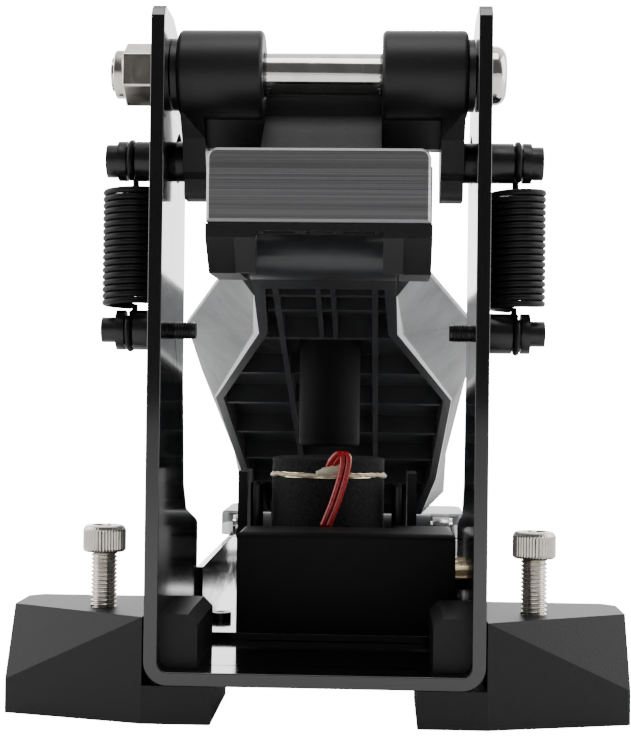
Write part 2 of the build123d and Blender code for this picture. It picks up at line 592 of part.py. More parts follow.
with BuildPart() as footboard_underframe:
    on_board(mirrored([(NECK_HALF, NECK_END + 2)] + rim_half(0.0)), 0, SKIN_W)
    rod_x(TOE_Y, TOE_Z, 8.3, -NECK_HALF, NECK_HALF)
    # hollow underside
    on_board(mirrored([(NECK_HALF - 3.5, NECK_END + 14)] + rim_half(3.0, 3.0)), -1, WEB_W, mode=Mode.SUBTRACT)
    # ribs
    for x in (-16.0, 16.0):
        on_board([(x - 1, NECK_END + 12), (x + 1, NECK_END + 12), (x + 1, along(FRONT + 300)),
                  (x - 1, along(FRONT + 300))], 1.5, WEB_W)
    for x in (-2.4, 2.4):
        on_board([(x - 0.8, NECK_END + 12), (x + 0.8, NECK_END + 12), (x + 0.8, along(FRONT + 94)),
                  (x - 0.8, along(FRONT + 94))], 2.0, WEB_W)
    for y, half in ((58, 19.6), (70, 19.6), (94, 25.6), (128, 36.5), (160, 41.8), (195, 41.0),
                    (230, 40.2), (265, 38.4), (298, 35.6)):
        u = along(FRONT + y)
        on_board([(-half, u - 1), (half, u - 1), (half, u + 1), (-half, u + 1)], 2.0, WEB_W)
    # heel barrel
    rod_x(HEEL_Y, HEEL_Z, KNUCKLE_R, -BARREL_HALF, BARREL_HALF)
    for x0, x1 in ((-34, -24), (24, 34)):
        arm_u = along(HEEL_Y - 26)
        side([board_yz(arm_u, 1), board_yz(arm_u, 9), (HEEL_Y + 1, HEEL_Z + KNUCKLE_R),
              (HEEL_Y, HEEL_Z - KNUCKLE_R)], x0, x1)
    rod_x(HEEL_Y, HEEL_Z, HEEL_PIN_R + RUN, -BARREL_HALF - 1, BARREL_HALF + 1, mode=Mode.SUBTRACT)
    rod_x(TOE_Y, TOE_Z, TOE_PIN_R + RUN, -NECK_HALF - 1, NECK_HALF + 1, mode=Mode.SUBTRACT)
    rod_z(0, STRIKER_Y, 2.5 + RUN, 90, 125, mode=Mode.SUBTRACT)
save(footboard_underframe, "footboard_underframe")


def outline_at(points, w):
    """A closed footboard outline drawn at height w."""
    with BuildSketch(BOARD.offset(w)) as drawn:
        with BuildLine():
            Polyline(*points, close=True)
        make_face()
    return drawn.sketch


with BuildPart() as footboard_shell:
    loft([outline_at(mirrored(RIM_OUTLINE), 0.0), outline_at(mirrored(TOP_OUTLINE), SKIN_W)], ruled=True)
    on_board(mirrored(TOP_OUTLINE), SKIN_W, BOARD_W)
    on_board(mirrored([(NECK_HALF, NECK_END + 2)] + rim_half(0.0) + [(38.0, along(FRONT + 309) + 8)]),
             -1, SKIN_W, mode=Mode.SUBTRACT)
    top_rim = footboard_shell.faces().sort_by(lambda f: f.center().Y * SIN + f.center().Z * COS)[-1].edges()
    fillet(top_rim, 1.0)
save(footboard_shell, "footboard_shell")

with BuildPart() as grip_strips:
    for y in range(90, 300, 16):
        u = along(FRONT + y)
        half = 27.0 if y < 100 else 38.0
        on_board([(-half, u - 3), (half, u - 3), (half, u + 3), (-half, u + 3)], BOARD_W, BOARD_W + 1.2)
save(grip_strips, "grip_strips")

with BuildPart() as striker:
    rod_z(0, STRIKER_Y, STRIKER_R, STRIKER_Z + 2.5, 125)
    on_board([(-60, along(STRIKER_Y) - 60), (60, along(STRIKER_Y) - 60), (60, along(STRIKER_Y) + 60),
              (-60, along(STRIKER_Y) + 60)], WEB_W, WEB_W + 60, mode=Mode.SUBTRACT)
    rod_z(0, STRIKER_Y, 2.5 + RUN, 95, 126, mode=Mode.SUBTRACT)
save(striker, "striker")

with BuildPart() as striker_cap:
    rod_z(0, STRIKER_Y, STRIKER_R, STRIKER_Z, STRIKER_Z + 2.5)
    fillet(striker_cap.edges().filter_by(GeomType.CIRCLE).sort_by(Axis.Z)[0], 1.0)
save(striker_cap, "striker_cap")

with BuildPart() as striker_screw:
    rod_z(0, STRIKER_Y, 2.5, 96, 125)
    on_board([(-60, along(STRIKER_Y) - 60), (60, along(STRIKER_Y) - 60), (60, along(STRIKER_Y) + 60),
              (-60, along(STRIKER_Y) + 60)], SKIN_W, SKIN_W + 60, mode=Mode.SUBTRACT)
save(striker_screw, "striker_screw")

# ---- heel -----------------------------------------------------------------
HEEL_FRONT = FRONT + 331.0
HEEL_TOP = 36.0
TRAY_HALF = plate_half(HEEL_FRONT) - PLATE_T - 2.7

with BuildPart() as heel_plate:
    block(-61, 61, HEEL_FRONT, HEEL_END, 24.0, HEEL_TOP)
    fillet(heel_plate.edges().filter_by(Axis.Z), 6.0)
    fillet(heel_plate.faces().sort_by(Axis.Z)[-1].edges(), 2.0)
    block(-TRAY_HALF, TRAY_HALF, HEEL_FRONT, HEEL_END - 2, PLATE_TOP, 24.5)
    block(3 - TRAY_HALF, TRAY_HALF - 3, HEEL_FRONT + 4, HEEL_END - 6, PLATE_TOP - 1, HEEL_TOP - 3.5, mode=Mode.SUBTRACT)
    for sign in (-1, 1):
        x0, x1 = pair(BARREL_HALF + 1, BARREL_HALF + 9, sign)
        rod_x(HEEL_Y, HEEL_Z, KNUCKLE_R + 0.5, x0, x1)
        block(x0, x1, HEEL_Y, HEEL_FRONT + 1, PLATE_TOP, HEEL_Z + 4)
    for x, y in HEEL_SCREWS:
        rod_z(x, y, 4.5, PLATE_TOP, HEEL_TOP - 3)
        rod_z(x, y, 2.0 + RUN, PLATE_TOP - 1, PLATE_TOP + 9, mode=Mode.SUBTRACT)
    rod_x(HEEL_Y, HEEL_Z, HEEL_PIN_R + RUN, -56, 56, mode=Mode.SUBTRACT)
save(heel_plate, "heel_plate")

with BuildPart() as heel_pin:
    rod_x(HEEL_Y, HEEL_Z, HEEL_PIN_R, -BARREL_HALF - 9.5, BARREL_HALF + 9.5)
    for sign in (-1, 1):
        x0, x1 = pair(BARREL_HALF + 9.2, BARREL_HALF + 10.6, sign)
        rod_x(HEEL_Y, HEEL_Z, HEEL_PIN_R + 1.6, x0, x1)
save(heel_pin, "heel_pin")


# ---- sensor ---------------------------------------------------------------
with BuildPart() as sensor_housing:
    block(BOX_X0, BOX_X1, BOX_Y0, BOX_Y1, PLATE_TOP, BOX_TOP)
    block(WING_X0, BOX_X1, BOX_Y1 - 1, WING_Y1, PLATE_TOP, BOX_TOP)
    fillet(sensor_housing.faces().sort_by(Axis.Z)[-1].edges(), 2.0)
    block(BOX_X0 + BOX_WALL, BOX_X1 - BOX_WALL, BOX_Y0 + BOX_WALL, BOX_Y1 - BOX_WALL, PLATE_TOP - 1,
          BOX_TOP - BOX_WALL, mode=Mode.SUBTRACT)
    block(WING_X0 + BOX_WALL, BOX_X1 - BOX_WALL, BOX_Y1 - 5, WING_Y1 - BOX_WALL, PLATE_TOP - 1,
          BOX_TOP - BOX_WALL, mode=Mode.SUBTRACT)
    for x, y in BOX_SCREWS:
        rod_z(x, y, 3.6, PLATE_TOP, 23.0)
        rod_z(x, y, 2.0 + RUN, PLATE_TOP - 1, 24.0, mode=Mode.SUBTRACT)
    block(BOX_X0 + 1, -22, BOX_Y0 + 1, BOX_Y1 - 1, 23.0, 26.0)
    block(8, 14, BOX_Y0 + 1, BOX_Y0 + 6, 23.0, 26.0)
    for y in JACK_YS:
        rod_x(y, JACK_Z, JACK_R + RUN, BOX_X1 - BOX_WALL - 1, BOX_X1 + 1, mode=Mode.SUBTRACT)
save(sensor_housing, "sensor_housing")

with BuildPart() as housing_screws:
    for x, y in BOX_SCREWS:
        rod_z(x, y, 2.0, FLOOR_Z, 22.5)
        rod_z(x, y, 3.8, FLOOR_Z - 2.4, FLOOR_Z)
        rod_z(x, y, 1.5, FLOOR_Z - 3, FLOOR_Z - 1.2, mode=Mode.SUBTRACT)
save(housing_screws, "housing_screws")

with BuildPart() as circuit_board:
    block(-25.0, 15.0, BOX_Y0 + 3, BOX_Y1 - 3, 26.0, 27.6)
save(circuit_board, "circuit_board")


JACK_NAMES = ("jack_output", "jack_mix_in")
for y, name in zip(JACK_YS, JACK_NAMES):
    inner = BOX_X1 - BOX_WALL
    with BuildPart() as socket:
        block(inner - JACK_DEEP, inner, y - 6.3, y + 6.3, JACK_Z - 7, JACK_Z + 7)
        rod_x(y, JACK_Z, JACK_R, inner, WALL_OUT + 3.2)
        rod_x(y, JACK_Z, JACK_BORE, inner - JACK_DEEP + 2, WALL_OUT + 5, mode=Mode.SUBTRACT)
    save(socket, name)

with BuildPart() as jack_nuts:
    for y in JACK_YS:
        with BuildSketch(Plane.YZ.offset(WALL_OUT)) as hexagon:
            with Locations((y, JACK_Z)):
                RegularPolygon(JACK_R + 1.5, 6, rotation=30, major_radius=False)
        extrude(hexagon.sketch, amount=2.2)
        rod_x(y, JACK_Z, JACK_R + RUN, WALL_OUT - 1, WALL_OUT + 4, mode=Mode.SUBTRACT)
save(jack_nuts, "jack_nuts")

# ---- pad holder and pad ---------------------------------------------------
HOLDER_Y0 = WING_Y1 + 1.0
HOLDER_Y1 = FRONT + 128.0

with BuildPart() as pad_holder:
    block(-PAD_R - 11, PAD_R + 11, HOLDER_Y0, HOLDER_Y1, PLATE_TOP, PAD_Z)
    block(-PAD_R - TRAY_RIM, PAD_R + TRAY_RIM, BOX_Y1 + 0.4, HOLDER_Y0 + 1, PAD_Z - 3, PAD_Z)
    block(-PAD_R - 8, PAD_R + 8, HOLDER_Y0 + 3, HOLDER_Y1 - 3, PLATE_TOP - 1, PAD_Z - 3, mode=Mode.SUBTRACT)
    for x, y in HOLDER_SCREWS:
        rod_z(x, y, 4.0, PLATE_TOP, PAD_Z - 2)
        rod_z(x, y, 2.0 + RUN, PLATE_TOP - 1, PLATE_TOP + 9, mode=Mode.SUBTRACT)
    for sign in (-1, 1):
        x0, x1 = pair(PAD_R + 7.8, PAD_R + 11, sign)
        block(x0, x1, HOLDER_Y0, HOLDER_Y1 - 12, PAD_Z - 1, 68.0)
save(pad_holder, "pad_holder")

with BuildPart() as holder_posts:
    for sign in (-1, 1):
        rod_z(sign * (PAD_R + 4.6), FRONT + 98.0, 2.25, PAD_Z, DISC_Z - 1.8)
    fillet(holder_posts.edges().filter_by(GeomType.CIRCLE).group_by(Axis.Z)[-1], 1.4)
save(holder_posts, "holder_posts")

LAYERS = (("pad_foam_lower", PAD_R, PAD_Z, DISC_Z),
          ("sensor_disc", PAD_R - 0.4, DISC_Z, DISC_Z + DISC_T),
          ("pad_tape", PAD_R - 0.2, DISC_Z + DISC_T, DISC_Z + DISC_T + TAPE_T),
          ("pad_foam_upper", PAD_R, DISC_Z + DISC_T + TAPE_T, PAD_TOP))
for name, radius, z0, z1 in LAYERS:
    with BuildPart() as layer:
        rod_z(0, PAD_Y, radius, z0, z1)
    save(layer, name)

with BuildPart() as lead_sealant:
    with Locations((5.2, PAD_Y - PAD_R + 0.6, 67.6)):
        Sphere(2.7)
    rod_z(0, PAD_Y, PAD_R + 0.02, DISC_Z - 6, PAD_TOP + 3, mode=Mode.SUBTRACT)
save(lead_sealant, "lead_sealant")


def lead(shift):
    """One insulated wire from the disc down to the housing."""
    y = PAD_Y - PAD_R - 2.2
    with BuildPart() as wire:
        with BuildLine() as path:
            Spline((1.0 + shift, y - 0.2, 68.6), (-0.8 + shift, y - 0.7, 66.4), (-1.4 + shift, y - 0.4, 58.0),
                   (-1.0 + shift, BOX_Y1 - 1.6, BOX_TOP + 0.1))
        with BuildSketch(Plane(origin=path.line @ 0, z_dir=path.line % 0)) as cut:
            Circle(0.85)
        sweep(cut.sketch, path=path.line)
    return wire


save(lead(-1.05), "sensor_lead_a")
save(lead(1.05), "sensor_lead_b")
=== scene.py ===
import math

import bpy
from mathutils import Matrix, Vector


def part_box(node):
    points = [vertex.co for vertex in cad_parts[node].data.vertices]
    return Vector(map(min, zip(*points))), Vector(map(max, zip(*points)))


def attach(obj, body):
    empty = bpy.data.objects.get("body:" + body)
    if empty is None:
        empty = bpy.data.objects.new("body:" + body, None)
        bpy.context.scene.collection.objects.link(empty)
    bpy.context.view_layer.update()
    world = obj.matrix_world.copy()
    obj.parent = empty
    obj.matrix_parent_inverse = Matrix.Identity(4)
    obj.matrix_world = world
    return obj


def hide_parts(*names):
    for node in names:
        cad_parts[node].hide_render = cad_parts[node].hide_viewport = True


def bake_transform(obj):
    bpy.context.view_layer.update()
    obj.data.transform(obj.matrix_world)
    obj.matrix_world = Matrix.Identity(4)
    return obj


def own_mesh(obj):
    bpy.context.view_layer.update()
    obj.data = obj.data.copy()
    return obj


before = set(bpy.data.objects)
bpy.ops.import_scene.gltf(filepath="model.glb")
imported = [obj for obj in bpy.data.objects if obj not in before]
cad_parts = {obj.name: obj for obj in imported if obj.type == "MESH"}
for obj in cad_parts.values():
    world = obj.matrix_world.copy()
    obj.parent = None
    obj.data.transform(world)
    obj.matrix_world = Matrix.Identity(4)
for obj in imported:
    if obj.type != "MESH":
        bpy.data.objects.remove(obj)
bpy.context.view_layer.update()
MM = 0.001
BRUSH_DEPTH = 0.9 * MM       # how far the machined face reaches back
RIM_HIGHLIGHT_HEIGHT = 0.9 * MM        # height of the painted highlight band along the footboard's lower edge
BOARD_RISE = 0.35            # footboard's slope, height over length
BOARD_EDGE = (-0.160, 0.135)  # a point on the footboard's lower edge, y and z
BEVEL_ANGLE = math.radians(28)
WELD_REACH = 0.004 * MM
WIRE_R = 1.0 * MM
EYE_R = 5.75 * MM
COIL_TURNS = 18
COIL_STEPS = 36              # points per turn of the wire
FLOOR_REACH = 6.0
CAMERA_GLOW = 16.0           # extra brightness of the backdrop, seen only by the camera


# ---- materials ------------------------------------------------------------
def nodes_of(name):
    mat = bpy.data.materials.new(name)
    mat.use_nodes = True
    return mat, mat.node_tree.nodes, mat.node_tree.links


def finish_coat(name, color, metallic=0.0, rough=0.5, vary=0.08, grain=900.0, bump=0.0, bump_scale=None,
                stretch=(1, 1, 1), coat=0.0, specular=0.5, tint=0.12, sub=0.0):
    """A material with procedural colour, roughness and bump; lengths in metres."""
    mat, nodes, links = nodes_of(name)
    shader = nodes["Principled BSDF"]
    shader.inputs["Metallic"].default_value = metallic
    shader.inputs["Specular IOR Level"].default_value = specular
    shader.inputs["Coat Weight"].default_value = coat
    shader.inputs["Coat Roughness"].default_value = 0.08
    if sub:
        shader.inputs["Subsurface Weight"].default_value = sub
        shader.inputs["Subsurface Radius"].default_value = (0.002, 0.0015, 0.001)
    coord = nodes.new("ShaderNodeTexCoord")
    mapping = nodes.new("ShaderNodeMapping")
    mapping.inputs["Scale"].default_value = stretch
    noise = nodes.new("ShaderNodeTexNoise")
    noise.inputs["Scale"].default_value = grain
    noise.inputs["Detail"].default_value = 4
    links.new(coord.outputs["Object"], mapping.inputs["Vector"])
    links.new(mapping.outputs["Vector"], noise.inputs["Vector"])
    rough_map = nodes.new("ShaderNodeMapRange")
    rough_map.inputs["To Min"].default_value = max(rough - vary, 0.02)
    rough_map.inputs["To Max"].default_value = rough + vary
    links.new(noise.outputs["Fac"], rough_map.inputs["Value"])
    links.new(rough_map.outputs["Result"], shader.inputs["Roughness"])
    ramp = nodes.new("ShaderNodeValToRGB")
    ramp.color_ramp.elements[0].position = 0.3
    ramp.color_ramp.elements[1].position = 0.7
    ramp.color_ramp.elements[0].color = [c * (1 - tint) for c in color] + [1]
    ramp.color_ramp.elements[1].color = [min(c * (1 + tint), 1) for c in color] + [1]
    links.new(noise.outputs["Fac"], ramp.inputs["Fac"])
    links.new(ramp.outputs["Color"], shader.inputs["Base Color"])
    if bump:
        fine = nodes.new("ShaderNodeTexNoise")
        fine.inputs["Scale"].default_value = bump_scale or grain
        fine.inputs["Detail"].default_value = 5
        links.new(mapping.outputs["Vector"], fine.inputs["Vector"])
        raised = nodes.new("ShaderNodeBump")
        raised.inputs["Strength"].default_value = 0.6
        raised.inputs["Distance"].default_value = bump
        links.new(fine.outputs["Fac"], raised.inputs["Height"])
        links.new(raised.outputs["Normal"], shader.inputs["Normal"])
    return mat


def masked(mat, top, axis, edge, width, above=True):
    """Lay a second shader over mat where a point's distance along axis passes edge."""
    nodes = mat.node_tree.nodes
    links = mat.node_tree.links
    out = nodes["Material Output"]
    base = nodes["Principled BSDF"]
    coord = nodes.new("ShaderNodeTexCoord")
    dot = nodes.new("ShaderNodeVectorMath")
    dot.operation = "DOT_PRODUCT"
    dot.inputs[1].default_value = axis
    links.new(coord.outputs["Object"], dot.inputs[0])
    step = nodes.new("ShaderNodeMapRange")
    step.inputs["From Min"].default_value = edge - width
    step.inputs["From Max"].default_value = edge + width
    step.inputs["To Min"].default_value = 0.0 if above else 1.0
    step.inputs["To Max"].default_value = 1.0 if above else 0.0
    links.new(dot.outputs["Value"], step.inputs["Value"])
    over = nodes.new("ShaderNodeBsdfPrincipled")
    for key, value in top.items():
        over.inputs[key].default_value = value
    mix = nodes.new("ShaderNodeMixShader")
    links.new(step.outputs["Result"], mix.inputs["Fac"])
    links.new(base.outputs["BSDF"], mix.inputs[1])
    links.new(over.outputs["BSDF"], mix.inputs[2])
    links.new(mix.outputs["Shader"], out.inputs["Surface"])
    return over


M = {
    "gloss": finish_coat("gloss_black", (0.004, 0.004, 0.0045), rough=0.09, vary=0.03, grain=60, coat=0.8),
    "foot": finish_coat("foot_black", (0.008, 0.008, 0.0088), rough=0.5, vary=0.08, grain=2500, bump=0.00012,
                        bump_scale=1800, specular=0.35),
    "zinc": finish_coat("dark_zinc", (0.25, 0.25, 0.25), metallic=1, rough=0.35),
    "rubber": finish_coat("black_rubber", (0.005, 0.005, 0.005), rough=0.75, bump=0.00005, specular=0.12),
    "nickel": finish_coat("warm_nickel", (0.70, 0.66, 0.60), metallic=1, rough=0.2, vary=0.06, grain=400),
    "chrome": finish_coat("axle_chrome", (0.82, 0.80, 0.77), metallic=1, rough=0.09, vary=0.03, grain=200),
    "pin": finish_coat("pin_black", (0.010, 0.010, 0.010), rough=0.3, vary=0.06, grain=700, specular=0.4),
    "wire": finish_coat("spring_wire", (0.006, 0.006, 0.006), rough=0.4, vary=0.07, grain=900, specular=0.2),
    "casting": finish_coat("black_casting", (0.009, 0.009, 0.0095), rough=0.42, vary=0.08, grain=1200,
                           bump=0.00006, bump_scale=1500, specular=0.35),
    "bush": finish_coat("bush_black", (0.02, 0.02, 0.02), rough=0.35),
    "grey": finish_coat("grey_rubber", (0.10, 0.10, 0.105), rough=0.6, bump=0.00004),
    "silver": finish_coat("cast_silver", (0.17, 0.173, 0.178), metallic=0.8, rough=0.33, vary=0.1, grain=70,
                          bump=0.0006, bump_scale=110, tint=0.28),
    "under": finish_coat("under_black", (0.034, 0.035, 0.038), rough=0.34, vary=0.1, grain=150,
                         bump=0.00008, bump_scale=900, specular=0.5),
    "housing": finish_coat("housing_black", (0.006, 0.006, 0.006), rough=0.55, vary=0.05, grain=2200,
                           bump=0.00004, specular=0.25),
    "green": finish_coat("board_green", (0.02, 0.14, 0.05), rough=0.4),
    "brass": finish_coat("pale_brass", (0.75, 0.62, 0.38), metallic=1, rough=0.22),
    "foam": finish_coat("black_foam", (0.016, 0.016, 0.017), rough=0.9, grain=1400,
                        bump=0.0006, bump_scale=1100, specular=0.15, tint=0.5),
    "cream": finish_coat("cream_adhesive", (0.62, 0.56, 0.42), rough=0.45, grain=700, bump=0.0002, sub=0.3),
    "red": finish_coat("red_lead", (0.40, 0.008, 0.011), rough=0.28, coat=0.4, grain=400, tint=0.08),
}
M["link"] = finish_coat("link_black", (0.009, 0.009, 0.0095), rough=0.4, vary=0.08, grain=1200,
                        bump=0.00006, bump_scale=1500, specular=0.35)

# machined, cross-brushed face of the toe link
face_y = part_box("toe_link")[0].y
face_shader = masked(M["link"], {"Metallic": 1.0}, (0, -1, 0), -face_y - BRUSH_DEPTH, 0.15 * MM)
tree = M["link"].node_tree
coord = tree.nodes.new("ShaderNodeTexCoord")
stretch = tree.nodes.new("ShaderNodeMapping")
stretch.inputs["Scale"].default_value = (6, 200, 5200)
lines = tree.nodes.new("ShaderNodeTexNoise")
lines.inputs["Scale"].default_value = 1.0
lines.inputs["Detail"].default_value = 6
tree.links.new(coord.outputs["Object"], stretch.inputs["Vector"])
tree.links.new(stretch.outputs["Vector"], lines.inputs["Vector"])
ramp = tree.nodes.new("ShaderNodeValToRGB")
ramp.color_ramp.elements[0].position = 0.3
ramp.color_ramp.elements[0].color = (0.20, 0.20, 0.205, 1)
ramp.color_ramp.elements[1].position = 0.7
ramp.color_ramp.elements[1].color = (0.38, 0.38, 0.39, 1)
tree.links.new(lines.outputs["Fac"], ramp.inputs["Fac"])
tree.links.new(ramp.outputs["Color"], face_shader.inputs["Base Color"])
gloss = tree.nodes.new("ShaderNodeMapRange")
gloss.inputs["To Min"].default_value = 0.25
gloss.inputs["To Max"].default_value = 0.42
tree.links.new(lines.outputs["Fac"], gloss.inputs["Value"])
tree.links.new(gloss.outputs["Result"], face_shader.inputs["Roughness"])

# painted highlight: a light metallic band along the footboard's lower edge
SLOPE = math.atan(BOARD_RISE)
rim_axis = (0, math.sin(SLOPE), math.cos(SLOPE))
rim_level = BOARD_EDGE[0] * rim_axis[1] + BOARD_EDGE[1] * rim_axis[2]
masked(M["silver"], {"Metallic": 1.0, "Roughness": 0.22, "Base Color": (0.62, 0.62, 0.63, 1)}, rim_axis,
       rim_level + RIM_HIGHLIGHT_HEIGHT, 0.2 * MM, above=False)

LOOKS = {
    "gloss": ["frame_channel", "base_plate"],
    "foot": ["foot_left", "foot_right", "foot_block_left", "foot_block_right"],
    "zinc": ["foot_screws", "base_screws", "heel_screws", "housing_screws", "striker_screw"],
    "rubber": ["rear_feet", "striker", "striker_cap", "grip_strips"],
    "nickel": ["anchor_bolt_left", "anchor_bolt_right", "axle_nut", "axle_washer"],
    "chrome": ["axle_sleeve", "axle_bolt", "heel_pin"],
    "pin": ["holder_posts", "lower_pin_left", "lower_pin_right", "upper_pin_left", "upper_pin_right",
            "link_pin", "toe_pin"],
    "wire": ["spring_left", "spring_right"],
    "casting": ["rocker"],
    "link": ["toe_link"],
    "bush": ["bush_left", "bush_right"],
    "grey": ["rocker_bumpers"],
    "silver": ["footboard_shell", "heel_plate"],
    "under": ["footboard_underframe"],
    "housing": ["sensor_housing", "pad_holder"],
    "green": ["circuit_board"],
    "brass": ["jack_output", "jack_mix_in", "jack_nuts", "sensor_disc"],
    "foam": ["pad_foam_lower", "pad_foam_upper"],
    "cream": ["pad_tape", "lead_sealant"],
    "red": ["sensor_lead_a", "sensor_lead_b"],
}
SOFT_EDGE = {"frame_channel": 0.35, "foot_left": 1.4, "foot_right": 1.4, "foot_block_left": 0.8,
             "foot_block_right": 0.8, "rocker": 0.5, "toe_link": 0.3, "footboard_underframe": 0.35,
             "footboard_shell": 0.35, "heel_plate": 0.5, "sensor_housing": 0.7, "pad_holder": 0.5,
             "base_plate": 0.3, "axle_nut": 0.5, "axle_sleeve": 0.4, "upper_pin_left": 0.5,
             "upper_pin_right": 0.5,
             "lower_pin_left": 0.5, "lower_pin_right": 0.5, "striker": 0.4, "grip_strips": 0.3,
             "axle_washer": 0.3, "pad_foam_lower": 0.7, "pad_foam_upper": 0.7}

for look, names in LOOKS.items():
    for name in names:
        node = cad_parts[name]
        node.data.materials.clear()
        node.data.materials.append(M[look])
        if name in SOFT_EDGE:
            weld = node.modifiers.new("weld", "WELD")
            weld.merge_threshold = WELD_REACH
            bevel = node.modifiers.new("bevel", "BEVEL")
            bevel.width = SOFT_EDGE[name] * MM
            bevel.segments = 3
            bevel.limit_method = "ANGLE"
            bevel.angle_limit = BEVEL_ANGLE
            bevel.harden_normals = True


# ---- mesh pieces ----------------------------------------------------------
def make_mesh(name, verts, faces, mat, smooth=True):
    mesh = bpy.data.meshes.new(name)
    mesh.from_pydata([tuple(v) for v in verts], [], faces)
    mesh.materials.append(mat)
    if smooth:
        mesh.polygons.foreach_set("use_smooth", [True] * len(mesh.polygons))
    mesh.update()
    obj = bpy.data.objects.new(name, mesh)
    bpy.context.scene.collection.objects.link(obj)
    return obj


def grid_faces(rows, cols, caps=True):
    faces = []
    for i in range(rows - 1):
        for j in range(cols):
            k = (j + 1) % cols
            faces.append((i * cols + j, i * cols + k, (i + 1) * cols + k, (i + 1) * cols + j))
    if caps:
        faces.append(tuple(reversed(range(cols))))
        faces.append(tuple(range((rows - 1) * cols, rows * cols)))
    return faces


def tube(name, path, radius, mat, around=12):
    """A round wire along a list of points, with a turning-free frame."""
    pts = [Vector(p) for p in path]
    side = Vector((1, 0.1, 0.05)).normalized()
    verts = []
    for i, p in enumerate(pts):
        ahead = pts[min(i + 1, len(pts) - 1)] - pts[max(i - 1, 0)]
        ahead.normalize()
        side = (side - ahead * side.dot(ahead)).normalized()
        up = ahead.cross(side)
        for j in range(around):
            a = 2 * math.pi * j / around
            r = radius[i] if isinstance(radius, list) else radius
            verts.append(p + (side * math.cos(a) + up * math.sin(a)) * r)
    return make_mesh(name, verts, grid_faces(len(pts), around), mat)


def coil_spring(side_name):
    """Close-wound extension spring with an eye round each pin."""
    node = "spring_" + side_name
    low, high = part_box(node)
    c = (low + high) / 2
    eye_low = low.z + EYE_R + 1.05 * MM
    eye_high = high.z - EYE_R - 1.05 * MM
    outer = (high.x - low.x) / 2 - WIRE_R - 0.05 * MM
    z0 = low.z + 14.6 * MM
    z1 = high.z - 15.4 * MM
    path = []
    for i in range(40):
        a = math.radians(250 - 280 * i / 39)
        path.append((c.x, c.y + EYE_R * math.cos(a + math.pi), eye_low + EYE_R * math.sin(a + math.pi)))
    path.append((c.x, c.y + 6.9 * MM, z0 - 2.6 * MM))
    count = COIL_TURNS * COIL_STEPS
    for i in range(count + 1):
        a = math.pi / 2 + 2 * math.pi * i / COIL_STEPS
        path.append((c.x + outer * math.cos(a), c.y + outer * math.sin(a), z0 + (z1 - z0) * i / count))
    path.append((c.x, c.y + 6.9 * MM, z1 + 2.6 * MM))
    for i in range(40):
        a = math.radians(-30 + 280 * i / 39)
        path.append((c.x, c.y + EYE_R * math.cos(a), eye_high + EYE_R * math.sin(a)))
    coil = tube("coil_spring_" + side_name, path, WIRE_R, M["wire"])
    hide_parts(node)
    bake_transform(coil)


def thread_grid(z_low, z_high, r_root, r_crest, pitch, around=40, step=0.16):
    """Rows of points round a single-start thread standing on Z; radii and pitch in mm."""
    rows = []
    count = int((z_high - z_low) / (step * MM))
    for i in range(count + 1):
        z = z_low + (z_high - z_low) * i / count
        row = []
        for j in range(around):
            a = 2 * math.pi * j / around
            phase = (z / (pitch * MM) - j / around) % 1.0
            rise = 1 - abs(2 * phase - 1)
            rise = min(max((rise - 0.12) / 0.76, 0), 1)
            end = min(1.0, (z - z_low) / (1.2 * MM))
            r = (r_root + (r_crest - r_root) * rise * end) * MM
            row.append((r * math.cos(a), r * math.sin(a), z))
        rows.append(row)
    return rows


def anchor(side_name):
    """Socket-head bolt with a straight-knurled head and a cut thread."""
    node = "anchor_bolt_" + side_name
    low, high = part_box(node)
    c = (low + high) / 2
    head_low = high.z - 7.9 * MM
    around = 40
    rows = [[(1.2 * MM * math.cos(2 * math.pi * j / around), 1.2 * MM * math.sin(2 * math.pi * j / around),
              low.z) for j in range(around)]]
    rows += thread_grid(low.z + 2.4 * MM, head_low, 3.3, 3.98, 1.25, around)
    verts = [(c.x + x, c.y + y, z) for row in rows for x, y, z in row]
    shank = make_mesh("anchor_thread_" + side_name, verts, grid_faces(len(rows), around), M["nickel"])
    teeth = 44
    ring = teeth * 4
    profile = [(head_low, 4.0, 0), (head_low, 5.9, 0), (head_low + 0.5 * MM, 6.35, 0.3),
               (head_low + 0.9 * MM, 6.45, 1), (high.z - 1.7 * MM, 6.45, 1), (high.z - 1.2 * MM, 6.35, 0.3),
               (high.z - 0.35 * MM, 5.9, 0), (high.z, 5.3, 0), (high.z, 3.75, 0),
               (high.z - 0.4 * MM, 3.45, 0)]
    verts = []
    for z, r, cut in profile:
        for j in range(ring):
            a = 2 * math.pi * j / ring
            notch = (0, 0.2, 0.32, 0.2)[j % 4] * cut
            rr = (r - notch) * MM
            verts.append((c.x + rr * math.cos(a), c.y + rr * math.sin(a), z))
    for depth in (0.4, 4.2):
        for j in range(ring):
            a = 2 * math.pi * j / ring
            flat = 3.0 / math.cos((a + math.pi / 6) % (math.pi / 3) - math.pi / 6)
            rr = min(flat, 3.45) * MM
            verts.append((c.x + rr * math.cos(a), c.y + rr * math.sin(a), high.z - depth * MM))
    faces = grid_faces(len(profile) + 2, ring)
    head = make_mesh("anchor_head_" + side_name, verts, faces, M["nickel"], smooth=False)
    for piece in (shank, head):
        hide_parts(node)
        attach(piece, "anchor_" + side_name)


def pin_thread(side_name, sign):
    """Thread crests on the end of the lower pin inside the frame wall."""
    low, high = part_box("lower_pin_" + side_name)
    c = (low + high) / 2
    tip = low.x if sign > 0 else high.x
    rows = thread_grid(0, 5.6 * MM, 2.42, 2.78, 0.8, 28, 0.1)
    verts = [(tip + sign * (z + 0.25 * MM), c.y + x, c.z + y) for row in rows for x, y, z in row]
    piece = make_mesh("pin_thread_" + side_name, verts, grid_faces(len(rows), 28), M["pin"])
    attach(piece, "frame")


for side_name, sign in (("left", -1), ("right", 1)):
    coil_spring(side_name)
    anchor(side_name)
    pin_thread(side_name, sign)


